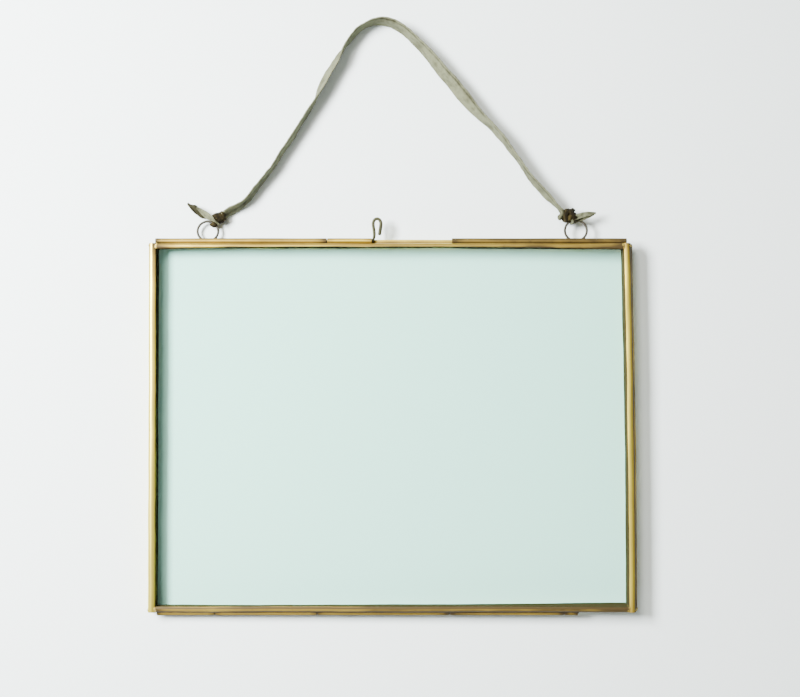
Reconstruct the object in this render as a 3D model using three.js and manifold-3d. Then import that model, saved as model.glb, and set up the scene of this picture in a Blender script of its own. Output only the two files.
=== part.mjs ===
// A hanging picture frame: two glazed brass leaves, hinged along the bottom, pinned shut
// along the top and hung on a nail by a flat strap tied to two jump rings.
// Millimetres, +Z up, +X right, +Y into the wall. The strap rests on the nail at the origin.
import * as THREE from 'three';
import { mergeVertices } from 'three/addons/utils/BufferGeometryUtils.js';
import Module from 'manifold-3d';

const wasm = await Module();
wasm.setup();

// Leaves
const leafWidth = 207;
const leafHeight = 157.5;
const leafTopBelowNail = 96;
const leafCentreX = 4.95;
const leafGap = 0.3;

// Folded channel, with a round back outside and a slot for the glass inside
const barDepth = 3.2;
const barSheet = 0.45;
const sideBarWidth = 3.2;
const endBarWidth = 2.4;
const upstandRise = 1.75;
const seatGap = 0.1;

// Glass
const glassThickness = 2;
const glassEdgeInset = 1.4;

// Closure and hinge tubes, and the wires in them
const tubeDiameter = 2.2;
const tubeBore = 1.4;
const wireDiameter = 1.1;
const knuckleGap = 0.3;
const closureLeftLength = 72.4;
const latchKnuckleLength = 19.1;
const latchWindow = 34;
const backKnuckleLeftLength = 24.6;
const frontKnuckleLeftLength = 43.4;
const frontKnuckleRightLength = 48.6;
const backKnuckleRightLength = 5.7;
const barrelRightInset = 23.9;
const hingeWireOverhang = 0.6;

// Latch pin, whose loop is a hairpin standing on the shaft
const pinShaftLength = 31;
const pinFootRun = 0.5;
const pinLoopHeight = 9.45;
const pinLoopHalfWidth = 1.65;
const pinWaistHalfWidth = 0.95;
const pinWaistHeight = 2.5;

// Jump rings and the staples that hold them
const leftRingInset = 24.7;
const rightRingInset = 24;
const ringWire = 0.8;
const leftRingRadius = 4.2;
const rightRingRadius = 4.5;
const ringAxisRise = 1.45;
const stapleBore = 1.4;
const stapleSheet = 0.4;
const stapleWidth = 2;

// Strap: [x, z, roll in degrees from facing the viewer, width] from knot to knot
const strapThickness = 1;
const strapEdge = 0.4;
const strapRoute = [
  [-66.2, -82.7, 81, 5.0],
  [-58.9, -78.3, 87, 6.4],
  [-52.0, -70.0, 90, 7.0],
  [-45.6, -61.3, 90, 7.0],
  [-39.7, -52.3, 88, 7.0],
  [-33.9, -43.2, 90, 7.0],
  [-29.4, -35.8, 92, 7.0],
  [-26.1, -29.3, 112, 7.0],
  [-22.5, -22.0, 122, 7.0],
  [-18.1, -15.1, 114, 7.0],
  [-14.5, -9.2, 92, 7.0],
  [-10.7, -4.3, 88, 7.0],
  [-5.9, -1.0, 86, 7.0],
  [-1.0, 0.6, 82, 7.0],
  [4.5, 0.0, 76, 7.0],
  [10.3, -3.5, 72, 7.0],
  [16.6, -9.1, 70, 7.0],
  [23.7, -17.2, 61, 7.0],
  [30.6, -25.3, 55, 7.0],
  [37.4, -33.7, 54, 7.0],
  [42.3, -39.3, 70, 7.0],
  [47.9, -44.7, 79, 7.0],
  [52.9, -50.3, 80, 7.0],
  [57.6, -56.8, 86, 7.0],
  [62.1, -63.2, 88, 7.0],
  [66.8, -69.5, 81, 7.0],
  [72.4, -75.6, 78, 6.4],
  [77.3, -80.7, 80, 4.6],
];
const strapSteps = 72;

// Knots, given from the middle of their own ring, and the cut ends that stick out of them
const leftKnot = { centre: [4.6, 0, 5.2], half: [3.6, 3.1, 2.95], lean: 35 };
const rightKnot = { centre: [-3.3, 0, 6.4], half: [4.2, 3.4, 3.5], lean: -40 };
const knotTurnRadius = 2.1;
const knotTurnThickness = 1.25;
const knotRingGap = 0.3;
const leftTail = [
  [-3.3, 0.0, 1.3, 20, 3.4],
  [-6.6, -0.3, 2.4, 34, 4.4],
  [-9.6, -0.6, 4.1, 40, 4.2],
  [-13.0, -0.8, 6.3, 36, 3.4],
];
const rightTail = [
  [4.3, 0.0, 0.3, 30, 3.0],
  [6.6, -0.4, 0.3, 44, 4.0],
  [9.4, -0.9, 0.7, 50, 4.0],
  [12.4, -1.2, 1.5, 46, 3.0],
];
const tailThickness = 0.9;
const tailSteps = 8;

// Facets
const arcSegments = 5;
const tubeSegments = 10;
const wireSides = 10;
const ringSides = 8;
const ringSteps = 40;
const pinSteps = 92;
const knotSides = 22;

// Places worked out from the sizes above
const crownRadius = barDepth / 2;
const tubeRadius = tubeDiameter / 2;
const stapleOuterRadius = stapleBore / 2 + stapleSheet;
const upstandRearY = -stapleOuterRadius - seatGap;
const backFaceY = upstandRearY - barSheet;
const backCentreY = backFaceY + crownRadius;
const frontCentreY = backFaceY - leafGap - crownRadius;
const partingY = (backCentreY + frontCentreY) / 2;
const leafTopZ = -leafTopBelowNail;
const leafBottomZ = leafTopZ - leafHeight;
const leafMiddleZ = (leafTopZ + leafBottomZ) / 2;
const leafLeftX = leafCentreX - leafWidth / 2;
const leafRightX = leafCentreX + leafWidth / 2;
const barrelLeftX = leafLeftX + sideBarWidth + seatGap;
const barrelRightX = leafRightX - sideBarWidth - seatGap;
const tubeReach = crownRadius + seatGap + tubeRadius;
const hingeY = partingY;
const hingeZ = leafBottomZ + crownRadius - Math.sqrt(tubeReach ** 2 - (partingY - frontCentreY) ** 2);
const closureY = backFaceY - seatGap - tubeRadius;
const closureZ = leafTopZ - crownRadius + Math.sqrt(tubeReach ** 2 - (closureY - frontCentreY) ** 2);
const closureCutX = barrelLeftX + closureLeftLength;
const knuckleEndX = closureCutX + knuckleGap + latchKnuckleLength;
const closureRightX = knuckleEndX + knuckleGap + latchWindow;
const ringAxisZ = leafTopZ + ringAxisRise;
const leftRingX = leafLeftX + leftRingInset;
const rightRingX = leafRightX - rightRingInset;

// Materials
const finish = (color, roughness, metalness) =>
  new THREE.MeshStandardMaterial({ color, roughness, metalness });
const brass = finish(0xb79555, 0.38, 1);
const darkBrass = finish(0x7b715a, 0.42, 1);
const glass = new THREE.MeshStandardMaterial({
  color: 0xcfe0d8, roughness: 0.05, metalness: 0, transparent: true, opacity: 0.3,
});
const strapStuff = finish(0xa9a88e, 0.9, 0);
const knotStuff = finish(0x54462a, 0.92, 0);

const frame = new THREE.Group();

function piece(name, geometry, material) {
  const mesh = new THREE.Mesh(geometry, material);
  mesh.name = name;
  frame.add(mesh);
  return mesh;
}

// Turns a section drawn with x towards the wall and y outwards, so that it runs along the third way
function aim(mesh, outward, start) {
  const towardsWall = new THREE.Vector3(0, 1, 0);
  const along = towardsWall.clone().cross(outward);
  mesh.quaternion.setFromRotationMatrix(new THREE.Matrix4().makeBasis(towardsWall, outward, along));
  mesh.position.copy(start);
  return mesh;
}

const up = new THREE.Vector3(0, 0, 1);
const down = new THREE.Vector3(0, 0, -1);
const left = new THREE.Vector3(-1, 0, 0);
const right = new THREE.Vector3(1, 0, 0);

// Channel section about the middle of its round back
function channelSection(width, rise) {
  const lip = crownRadius - width;
  const inner = crownRadius - barSheet;
  const shape = new THREE.Shape();
  shape.moveTo(inner, lip);
  shape.lineTo(crownRadius, lip);
  if (rise > 0) {
    const fold = Math.acos(-inner / crownRadius);
    shape.absarc(0, 0, crownRadius, 0, fold, false);
    shape.lineTo(-inner, crownRadius + rise);
    shape.lineTo(-crownRadius, crownRadius + rise);
  } else {
    shape.absarc(0, 0, crownRadius, 0, Math.PI, false);
  }
  shape.lineTo(-crownRadius, lip);
  shape.lineTo(-inner, lip);
  shape.absarc(0, 0, inner, Math.PI, 0, true);
  return shape;
}

function channel(name, width, length, rise = 0) {
  const geometry = new THREE.ExtrudeGeometry(channelSection(width, rise), {
    depth: length, bevelEnabled: false, curveSegments: arcSegments,
  });
  return piece(name, geometry, brass);
}

// Four channels round one pane; only the back leaf's top channel has an upstand
function leaf(side, y, rise) {
  const endLength = leafWidth - 2 * (sideBarWidth + seatGap);
  const sideLength = leafHeight - 2 * seatGap;
  const endLeftX = leafLeftX + sideBarWidth + seatGap;
  const endRightX = endLeftX + endLength;
  const topZ = leafTopZ - crownRadius;
  const bottomZ = leafBottomZ + crownRadius;
  aim(channel(`${side}_bar_top`, endBarWidth, endLength, rise), up, new THREE.Vector3(endLeftX, y, topZ));
  aim(channel(`${side}_bar_bottom`, endBarWidth, endLength), down, new THREE.Vector3(endRightX, y, bottomZ));
  aim(
    channel(`${side}_bar_left`, sideBarWidth, sideLength), left,
    new THREE.Vector3(leafLeftX + crownRadius, y, leafBottomZ + seatGap),
  );
  aim(
    channel(`${side}_bar_right`, sideBarWidth, sideLength), right,
    new THREE.Vector3(leafRightX - crownRadius, y, leafTopZ - seatGap),
  );
  const pane = new THREE.BoxGeometry(
    leafWidth - 2 * glassEdgeInset, glassThickness, leafHeight - 2 * glassEdgeInset,
  );
  piece(`${side}_glass`, pane, glass).position.set(leafCentreX, y, leafMiddleZ);
}

// A tube that runs along X from one place to another
function tube(name, fromX, toX, y, z) {
  const section = new THREE.Shape();
  section.absarc(0, 0, tubeRadius, 0, 2 * Math.PI, false);
  const bore = new THREE.Path();
  bore.absarc(0, 0, tubeBore / 2, 0, 2 * Math.PI, true);
  section.holes.push(bore);
  const geometry = new THREE.ExtrudeGeometry(section, {
    depth: toX - fromX, bevelEnabled: false, curveSegments: tubeSegments,
  });
  return aim(piece(name, geometry, brass), up, new THREE.Vector3(fromX, y, z));
}

function closure() {
  tube('closure_tube_left', barrelLeftX, closureCutX, closureY, closureZ);
  tube('latch_knuckle', closureCutX + knuckleGap, knuckleEndX, closureY, closureZ);
  tube('closure_tube_right', closureRightX, barrelRightX, closureY, closureZ);
}

// Knuckles are set off from both ends of the barrel, and the middle one takes what is left
function hinge() {
  const firstX = barrelLeftX + backKnuckleLeftLength;
  const secondX = firstX + knuckleGap + frontKnuckleLeftLength;
  const barrelEndX = leafRightX - barrelRightInset;
  const fourthX = barrelEndX - backKnuckleRightLength;
  const thirdX = fourthX - knuckleGap - frontKnuckleRightLength;
  tube('back_knuckle_left', barrelLeftX, firstX, hingeY, hingeZ);
  tube('front_knuckle_left', firstX + knuckleGap, secondX, hingeY, hingeZ);
  tube('back_knuckle_centre', secondX + knuckleGap, thirdX - knuckleGap, hingeY, hingeZ);
  tube('front_knuckle_right', thirdX, fourthX - knuckleGap, hingeY, hingeZ);
  tube('back_knuckle_right', fourthX, barrelEndX, hingeY, hingeZ);
  const wireLength = barrelEndX + hingeWireOverhang - barrelLeftX;
  const wire = new THREE.CylinderGeometry(wireDiameter / 2, wireDiameter / 2, wireLength, wireSides);
  const mesh = piece('hinge_wire', wire, darkBrass);
  mesh.rotation.z = Math.PI / 2;
  mesh.position.set(barrelLeftX + wireLength / 2, hingeY, hingeZ);
}

// One bent wire: shaft, foot, up the left leg, round the loop and down the right leg
function latchPin() {
  const footX = -pinWaistHalfWidth - 2 * pinFootRun;
  const tipX = footX - pinShaftLength;
  const shoulder = pinLoopHeight - pinLoopHalfWidth;
  const bow = pinLoopHalfWidth * Math.SQRT1_2;
  const route = [
    [tipX, 0],
    [tipX + pinShaftLength / 2, 0],
    [footX - 3 * pinFootRun, 0],
    [footX - pinFootRun, 0],
    [footX, 0],
    [footX + 1.2 * pinFootRun, 0.5],
    [-pinWaistHalfWidth, pinWaistHeight],
    [-(pinWaistHalfWidth + pinLoopHalfWidth) / 2, (pinWaistHeight + shoulder) / 2],
    [-pinLoopHalfWidth, shoulder],
    [-bow, shoulder + bow],
    [0, pinLoopHeight],
    [bow, shoulder + bow],
    [pinLoopHalfWidth, shoulder],
    [(pinWaistHalfWidth + pinLoopHalfWidth) / 2, (pinWaistHeight + shoulder) / 2],
    [pinWaistHalfWidth, pinWaistHeight],
  ];
  const curve = new THREE.CatmullRomCurve3(route.map(([x, z]) => new THREE.Vector3(x, 0, z)));
  const section = new THREE.Shape();
  section.absarc(0, 0, wireDiameter / 2, 0, 2 * Math.PI, false);
  const geometry = new THREE.ExtrudeGeometry(section, {
    steps: pinSteps, extrudePath: curve, curveSegments: ringSides / 2,
  });
  piece('latch_pin', geometry, darkBrass).position.set(knuckleEndX + knuckleGap - footX, closureY, closureZ);
}

// An arch of strap over the ring's wire, with its feet on the round back of the channel
function staple(name, x) {
  const outer = stapleOuterRadius;
  const inner = stapleBore / 2;
  const section = new THREE.Shape();
  section.moveTo(inner, -ringAxisRise);
  section.lineTo(outer, -ringAxisRise);
  section.absarc(0, 0, outer, 0, Math.PI, false);
  section.lineTo(-outer, -ringAxisRise);
  section.lineTo(-inner, -ringAxisRise);
  section.absarc(0, 0, inner, Math.PI, 0, true);
  const geometry = new THREE.ExtrudeGeometry(section, {
    depth: stapleWidth, bevelEnabled: false, curveSegments: arcSegments,
  });
  aim(piece(name, geometry, brass), up, new THREE.Vector3(x - stapleWidth / 2, 0, ringAxisZ));
}

function ring(name, radius, x) {
  const mesh = piece(name, new THREE.TorusGeometry(radius, ringWire / 2, ringSides, ringSteps), darkBrass);
  mesh.rotation.x = Math.PI / 2;
  mesh.position.set(x, 0, ringAxisZ + radius);
}

function toManifold(geometry) {
  const bare = geometry.clone();
  bare.deleteAttribute('normal');
  bare.deleteAttribute('uv');
  const merged = mergeVertices(bare, 1e-4);
  return new wasm.Manifold(new wasm.Mesh({
    numProp: 3,
    vertProperties: new Float32Array(merged.attributes.position.array),
    triVerts: new Uint32Array(merged.index.array),
  }));
}

function toGeometry(solid) {
  const mesh = solid.getMesh();
  const geometry = new THREE.BufferGeometry();
  geometry.setAttribute('position', new THREE.BufferAttribute(new Float32Array(mesh.vertProperties), 3));
  geometry.setIndex(new THREE.BufferAttribute(new Uint32Array(mesh.triVerts), 1));
  geometry.computeVertexNormals();
  return geometry;
}

// A tied knot: a rounded lump with one thick turn round it, and a way through for the ring's wire
function knot(name, shape, radius, x) {
  const lump = new THREE.SphereGeometry(1, knotSides, knotSides / 2);
  lump.scale(...shape.half);
  const turn = new THREE.TorusGeometry(knotTurnRadius, knotTurnThickness, ringSides, knotSides);
  turn.rotateY(Math.PI / 2);
  const whole = toManifold(lump).add(toManifold(turn));
  const lean = THREE.MathUtils.degToRad(shape.lean);
  const turned = toGeometry(whole);
  turned.rotateY(-lean);
  turned.translate(...shape.centre);
  const way = new THREE.TorusGeometry(radius, ringWire / 2 + knotRingGap, ringSides, ringSteps);
  way.rotateX(Math.PI / 2);
  const solid = toManifold(turned).subtract(toManifold(way));
  piece(name, toGeometry(solid), knotStuff).position.set(x, 0, ringAxisZ + radius);
}

// A closed flat band through rings of eight points. Rows are [x, y, z, roll, width].
function band(rows, steps, thickness) {
  const middle = new THREE.CatmullRomCurve3(rows.map(([x, y, z]) => new THREE.Vector3(x, y, z)));
  const rollWidth = new THREE.CatmullRomCurve3(
    rows.map(([, , , roll, width], i) => new THREE.Vector3(roll, width, i)), false, 'catmullrom',
  );
  const corners = 8;
  const positions = [];
  for (let i = 0; i <= steps; i += 1) {
    const t = i / steps;
    const centre = middle.getPoint(t);
    const ahead = middle.getTangent(t);
    const outward = new THREE.Vector3(-ahead.z, 0, ahead.x).normalize();
    const { x: roll, y: width } = rollWidth.getPoint(t);
    const angle = THREE.MathUtils.degToRad(roll);
    const across = outward.multiplyScalar(Math.cos(angle)).add(new THREE.Vector3(0, -Math.sin(angle), 0));
    const through = across.clone().cross(ahead).normalize();
    const half = width / 2;
    const thick = thickness / 2;
    const section = [
      [half, thick - strapEdge / 2], [half - strapEdge, thick],
      [strapEdge - half, thick], [-half, thick - strapEdge / 2],
      [-half, strapEdge / 2 - thick], [strapEdge - half, -thick],
      [half - strapEdge, -thick], [half, strapEdge / 2 - thick],
    ];
    section.forEach(([a, b]) => {
      const point = centre.clone().addScaledVector(across, a).addScaledVector(through, b);
      positions.push(point.x, point.y, point.z);
    });
  }
  const index = [];
  for (let i = 0; i < steps; i += 1) {
    for (let k = 0; k < corners; k += 1) {
      const next = (k + 1) % corners;
      const a = i * corners + k;
      const b = i * corners + next;
      index.push(a, b + corners, b, a, a + corners, b + corners);
    }
  }
  const last = steps * corners;
  for (let k = 1; k < corners - 1; k += 1) {
    index.push(0, k, k + 1);
    index.push(last, last + k + 1, last + k);
  }
  const geometry = new THREE.BufferGeometry();
  geometry.setAttribute('position', new THREE.Float32BufferAttribute(positions, 3));
  geometry.setIndex(index);
  geometry.computeVertexNormals();
  return geometry;
}

function tail(name, rows, shape, radius, x) {
  const mesh = piece(name, band(rows, tailSteps, tailThickness), strapStuff);
  mesh.position.set(x + shape.centre[0], 0, ringAxisZ + radius + shape.centre[2]);
}

leaf('back', backCentreY, upstandRise);
leaf('front', frontCentreY, 0);
closure();
hinge();
latchPin();
staple('ring_staple_left', leftRingX);
staple('ring_staple_right', rightRingX);
ring('ring_left', leftRingRadius, leftRingX);
ring('ring_right', rightRingRadius, rightRingX);
piece(
  'ribbon',
  band(strapRoute.map(([x, z, roll, width]) => [x, 0, z, roll, width]), strapSteps, strapThickness),
  strapStuff,
);
knot('knot_left', leftKnot, leftRingRadius, leftRingX);
knot('knot_right', rightKnot, rightRingRadius, rightRingX);
tail('tail_left', leftTail, leftKnot, leftRingRadius, leftRingX);
tail('tail_right', rightTail, rightKnot, rightRingRadius, rightRingX);

export default frame;
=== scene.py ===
"""Looks of a hanging frame: two hinged glass leaves in folded brass channel, on a tied strap.

Lengths in the classes are millimetres in the part's own frame: +X to the right, +Y into the wall
and +Z up, with the strap resting on its nail at the origin. Soil runs from 0 where the metal or
cloth is clean to 1 where it is caked; in many places its values also carry painted shade, and on
the strap's edges a painted highlight.
"""

import logging
import math
from dataclasses import dataclass
from enum import Enum
from functools import cache
from typing import Sequence

import bmesh
import bpy
import numpy as np
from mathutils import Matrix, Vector, noise


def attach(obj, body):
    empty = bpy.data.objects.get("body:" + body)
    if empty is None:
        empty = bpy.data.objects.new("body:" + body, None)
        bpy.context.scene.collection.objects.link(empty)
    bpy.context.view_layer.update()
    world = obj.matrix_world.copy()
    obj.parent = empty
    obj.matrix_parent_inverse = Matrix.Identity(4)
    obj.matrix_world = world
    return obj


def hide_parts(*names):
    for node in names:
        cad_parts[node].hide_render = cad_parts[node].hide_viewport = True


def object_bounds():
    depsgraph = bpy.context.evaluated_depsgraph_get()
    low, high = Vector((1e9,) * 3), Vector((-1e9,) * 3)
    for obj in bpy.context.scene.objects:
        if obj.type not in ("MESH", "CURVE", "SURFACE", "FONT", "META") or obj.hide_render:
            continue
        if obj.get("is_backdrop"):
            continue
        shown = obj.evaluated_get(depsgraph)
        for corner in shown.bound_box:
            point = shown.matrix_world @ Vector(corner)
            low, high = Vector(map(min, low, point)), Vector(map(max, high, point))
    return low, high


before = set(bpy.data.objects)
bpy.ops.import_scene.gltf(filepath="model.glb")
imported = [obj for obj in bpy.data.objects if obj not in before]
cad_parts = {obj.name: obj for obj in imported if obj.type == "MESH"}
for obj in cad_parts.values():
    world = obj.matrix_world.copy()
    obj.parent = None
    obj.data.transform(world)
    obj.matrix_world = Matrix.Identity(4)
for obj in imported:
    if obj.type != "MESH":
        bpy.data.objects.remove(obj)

CAD_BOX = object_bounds()
MM = 0.001
LOG = logging.getLogger("hanging_frame")

Point = tuple[float, float, float]
Colour = tuple[float, float, float]
Shift = tuple[float, float, float]
Pair = tuple[float, float]
Wave = Pair
Span = Pair

# Where both leaves have their bars: the middle of each in depth, the outer lines of the top and
# the bottom, and how far in from them a bar's round back has its middle.
BACK_Y, FRONT_Y = -0.05, -3.55
TOP, BOTTOM = -96.0, -253.5
CROWN = 1.6


# Shading

class Signal:
    """One output of a material's nodes, on which Python arithmetic adds Math nodes."""

    def __init__(self, shading: "Shading", socket: bpy.types.NodeSocket) -> None:
        """Keeps the tree and the output."""
        self.shading = shading
        self.socket = socket

    def _math(self, operation: str, first: object, second: object, clamp: bool = False) -> "Signal":
        """Adds a Math node on two signals or numbers, and may hold its result from 0 to 1."""
        inputs = {0: first, 1: second}
        return self.shading.take(self.shading.node(
            "ShaderNodeMath", inputs, operation=operation, use_clamp=clamp))

    def __add__(self, other: object) -> "Signal":
        """self + other."""
        return self._math("ADD", self, other)

    def __radd__(self, other: object) -> "Signal":
        """other + self."""
        return self._math("ADD", other, self)

    def __sub__(self, other: object) -> "Signal":
        """self - other."""
        return self._math("SUBTRACT", self, other)

    def __rsub__(self, other: object) -> "Signal":
        """other - self."""
        return self._math("SUBTRACT", other, self)

    def __mul__(self, other: object) -> "Signal":
        """self * other."""
        return self._math("MULTIPLY", self, other)

    def __rmul__(self, other: object) -> "Signal":
        """other * self."""
        return self._math("MULTIPLY", other, self)

    def __truediv__(self, other: object) -> "Signal":
        """self / other."""
        return self._math("DIVIDE", self, other)

    def __rtruediv__(self, other: object) -> "Signal":
        """other / self."""
        return self._math("DIVIDE", other, self)

    def __pow__(self, other: object) -> "Signal":
        """self to the power of other."""
        return self._math("POWER", self, other)

    def __rpow__(self, other: object) -> "Signal":
        """other to the power of self."""
        return self._math("POWER", other, self)

    def wave(self) -> "Signal":
        """The sine of the signal."""
        return self._math("SINE", self, 0.0)

    def clamped(self) -> "Signal":
        """The signal held between 0 and 1."""
        return self._math("ADD", self, 0.0, clamp=True)

    def over(self, low: float, high: float) -> "Signal":
        """The signal stretched so that low gives 0 and high gives 1, and clamped."""
        return ((self - low) / (high - low)).clamped()


class Shading:
    """The node tree of one material, round one Principled shader."""

    def __init__(self, name: str) -> None:
        """Makes the material.

        Args:
            name: the material's name.
        """
        self.material = bpy.data.materials.new(name)
        self.material.use_nodes = True
        self.tree = self.material.node_tree
        self.surface = self.tree.nodes["Principled BSDF"]

    def node(self, kind: str, inputs: dict | None = None, **settings: object) -> bpy.types.Node:
        """Adds one node.

        Args:
            kind: the node's type.
            inputs: values or signals by socket name or number.
            settings: the node's own settings, set before its sockets.

        Returns:
            The node.
        """
        made = self.tree.nodes.new(kind)
        for key, value in settings.items():
            setattr(made, key, value)
        self.feed(made, inputs or {})
        return made

    def feed(self, node: bpy.types.Node, inputs: dict) -> None:
        """Sets or links a node's sockets.

        Args:
            node: the node.
            inputs: values or signals by socket name or number.
        """
        for key, value in inputs.items():
            if isinstance(value, Signal):
                self.tree.links.new(value.socket, node.inputs[key])
            else:
                node.inputs[key].default_value = value

    def take(self, node: bpy.types.Node, output: str | int = 0) -> Signal:
        """One output of a node as a signal."""
        return Signal(self, node.outputs[output])

    def place(self, which: str = "Object") -> Signal:
        """A texture coordinate, the piece's own place or its surface's unrolled sheet."""
        return self.take(self.node("ShaderNodeTexCoord"), which)

    def stretch(self, place: Signal, scale: Point) -> Signal:
        """A coordinate multiplied along its three ways."""
        made = self.node("ShaderNodeVectorMath", {0: place, 1: scale}, operation="MULTIPLY")
        return self.take(made)

    def cloud(self, place: Signal, scale: float, detail: float = 3.0, rough: float = 0.6) -> Signal:
        """Noise from 0 to 1: its lumps in a metre, and how many and how strong its finer layers."""
        inputs = {"Vector": place, "Scale": scale, "Detail": detail, "Roughness": rough}
        return self.take(self.node("ShaderNodeTexNoise", inputs), "Fac")

    def stored(self, name: str) -> Signal:
        """A value that the mesh keeps at each of its points."""
        made = self.node("ShaderNodeAttribute", attribute_name=name, attribute_type="GEOMETRY")
        return self.take(made, "Fac")

    def blend(self, amount: object, first: object, second: object) -> Signal:
        """A colour between two others.

        Args:
            amount: 0 gives the first and 1 the second.
            first: a colour or a signal.
            second: a colour or a signal.

        Returns:
            The colour.
        """
        ends = [(*value, 1.0) if isinstance(value, tuple) else value for value in (first, second)]
        inputs = {0: amount, 6: ends[0], 7: ends[1]}
        return self.take(self.node("ShaderNodeMix", inputs, data_type="RGBA"), 2)

    def relief(self, height: Signal, depth: float, strength: float) -> Signal:
        """A bumped normal, where a height of 1 stands for the depth in metres."""
        inputs = {"Height": height, "Distance": depth, "Strength": strength}
        return self.take(self.node("ShaderNodeBump", inputs))

    def clear(self, colour: Colour = (1.0, 1.0, 1.0)) -> Signal:
        """A shader that lets light of one colour straight through."""
        return self.take(self.node("ShaderNodeBsdfTransparent", {"Color": (*colour, 1.0)}))

    def mix(self, amount: Signal, first: Signal, second: Signal) -> None:
        """Gives the material one shader where the amount is 0 and another where it is 1."""
        mixed = self.node("ShaderNodeMixShader", {"Fac": amount, 1: first, 2: second})
        self.feed(self.tree.nodes["Material Output"], {"Surface": self.take(mixed)})


@dataclass(frozen=True)
class BrassFinish:
    """Aged sheet brass: rubbed bright where hands reach, brown where it is soiled and where shade
    is painted into its soil.
    """

    name: str = "aged_brass"
    bright: Colour = (0.80, 0.665, 0.095)
    mellow: Colour = (0.43, 0.293, 0.052)
    grime_and_shade: Colour = (0.055, 0.037, 0.013)
    low_roughness: float = 0.36
    high_roughness: float = 0.60
    drawn: Point = (22.0, 900.0, 1.0)
    streaks: float = 0.35
    patches: float = 70.0
    patchiness: float = 0.45
    specks: float = 900.0
    dotted: Span = (0.64, 0.78)
    mellowed: Span = (0.0, 0.5)
    soiled: Span = (0.42, 0.86)
    relief: float = 0.00005
    specular: float = 0.2

    def build(self) -> bpy.types.Material:
        """Makes the material.

        Returns:
            The material.
        """
        shading = Shading(self.name)
        sheet = shading.place("UV")
        body = shading.place()
        drawn = shading.cloud(shading.stretch(sheet, self.drawn), 1.0)
        patches = shading.cloud(body, self.patches, rough=0.55)
        specks = shading.cloud(body, self.specks, 2.0, 0.7)
        # The stored soil value carries painted shade and highlight as well as real soil.
        wear_and_shade = shading.stored("soil_and_shade")
        uneven = (patches - 0.5) * self.patchiness
        age = (wear_and_shade + uneven + (drawn - 0.5) * self.streaks).clamped()
        dots = specks.over(*self.dotted) * 0.3
        metal = shading.blend(age.over(*self.mellowed), self.bright, self.mellow)
        dirt_and_shade = (age.over(*self.soiled) + dots).clamped()
        spread = self.high_roughness - self.low_roughness
        shading.feed(shading.surface, {
            "Base Color": shading.blend(dirt_and_shade, metal, self.grime_and_shade),
            "Roughness": (self.low_roughness + age * spread + (drawn - 0.5) * 0.12).clamped(),
            "Metallic": 1.0 - dirt_and_shade * 0.55,
            "Normal": shading.relief(drawn * 0.6 + patches * 0.4, self.relief, 0.5),
            "Specular IOR Level": self.specular,
        })
        return shading.material


@dataclass(frozen=True)
class SolderFinish:
    """Solder that was painted brass: lumpy, duller than the sheet, a little silver where rubbed."""

    name: str = "toned_solder"
    warm: Colour = (0.30, 0.215, 0.042)
    grey: Colour = (0.27, 0.215, 0.075)
    lumps: float = 420.0
    greyed: Span = (0.4, 0.7)
    pits: float = 1600.0
    roughness: float = 0.46
    relief: float = 0.0001

    def build(self) -> bpy.types.Material:
        """Makes the material.

        Returns:
            The material.
        """
        shading = Shading(self.name)
        body = shading.place()
        lumps = shading.cloud(body, self.lumps)
        pits = shading.cloud(body, self.pits, 2.0)
        shading.feed(shading.surface, {
            "Base Color": shading.blend(lumps.over(*self.greyed), self.warm, self.grey),
            "Roughness": self.roughness + pits * 0.2,
            "Metallic": 1.0,
            "Normal": shading.relief(lumps * 0.6 + pits * 0.4, self.relief, 0.6),
        })
        return shading.material


@dataclass(frozen=True)
class WireFinish:
    """Dull wire, greyer than the sheet."""

    name: str
    colour: Colour
    stain: Colour
    roughness: float
    metal: float
    stains: float = 260.0
    stained: Span = (0.4, 0.68)
    grain: float = 2400.0
    relief: float = 0.00001
    specular: float = 0.12

    def build(self) -> bpy.types.Material:
        """Makes the material.

        Returns:
            The material.
        """
        shading = Shading(self.name)
        body = shading.place()
        stains = shading.cloud(body, self.stains).over(*self.stained)
        grain = shading.cloud(body, self.grain, 2.0)
        shading.feed(shading.surface, {
            "Base Color": shading.blend(stains, self.colour, self.stain),
            "Roughness": self.roughness + stains * 0.16,
            "Metallic": self.metal,
            "Normal": shading.relief(grain, self.relief, 0.3),
            "Specular IOR Level": self.specular,
        })
        return shading.material


@dataclass(frozen=True)
class PaneFinish:
    """Clear float glass with a faint green body, which mirrors more as it is seen aslant."""

    name: str = "pane"
    through: Colour = (0.905, 0.975, 0.9535)
    body: Colour = (0.88, 0.95, 0.92)
    mirror: float = 0.1
    head_on: float = 0.04
    smear: float = 0.002
    smeared: Span = (0.52, 0.8)
    wipes: Point = (9.0, 9.0, 14.0)

    def build(self) -> bpy.types.Material:
        """Makes the material.

        Returns:
            The material.
        """
        shading = Shading(self.name)
        facing = shading.take(shading.node("ShaderNodeLayerWeight", {"Blend": 0.5}), "Facing")
        aslant = facing ** 5.0 * (1.0 - self.head_on) + self.head_on
        place = shading.stretch(shading.place(), self.wipes)
        smears = shading.cloud(place, 1.0, rough=0.55).over(*self.smeared)
        shading.feed(shading.surface, {
            "Base Color": (*self.body, 1.0), "Roughness": 0.0, "Metallic": 1.0,
        })
        shading.mix((aslant * self.mirror + smears * self.smear).clamped(),
                    shading.clear(self.through), shading.take(shading.surface))
        return shading.material


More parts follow.
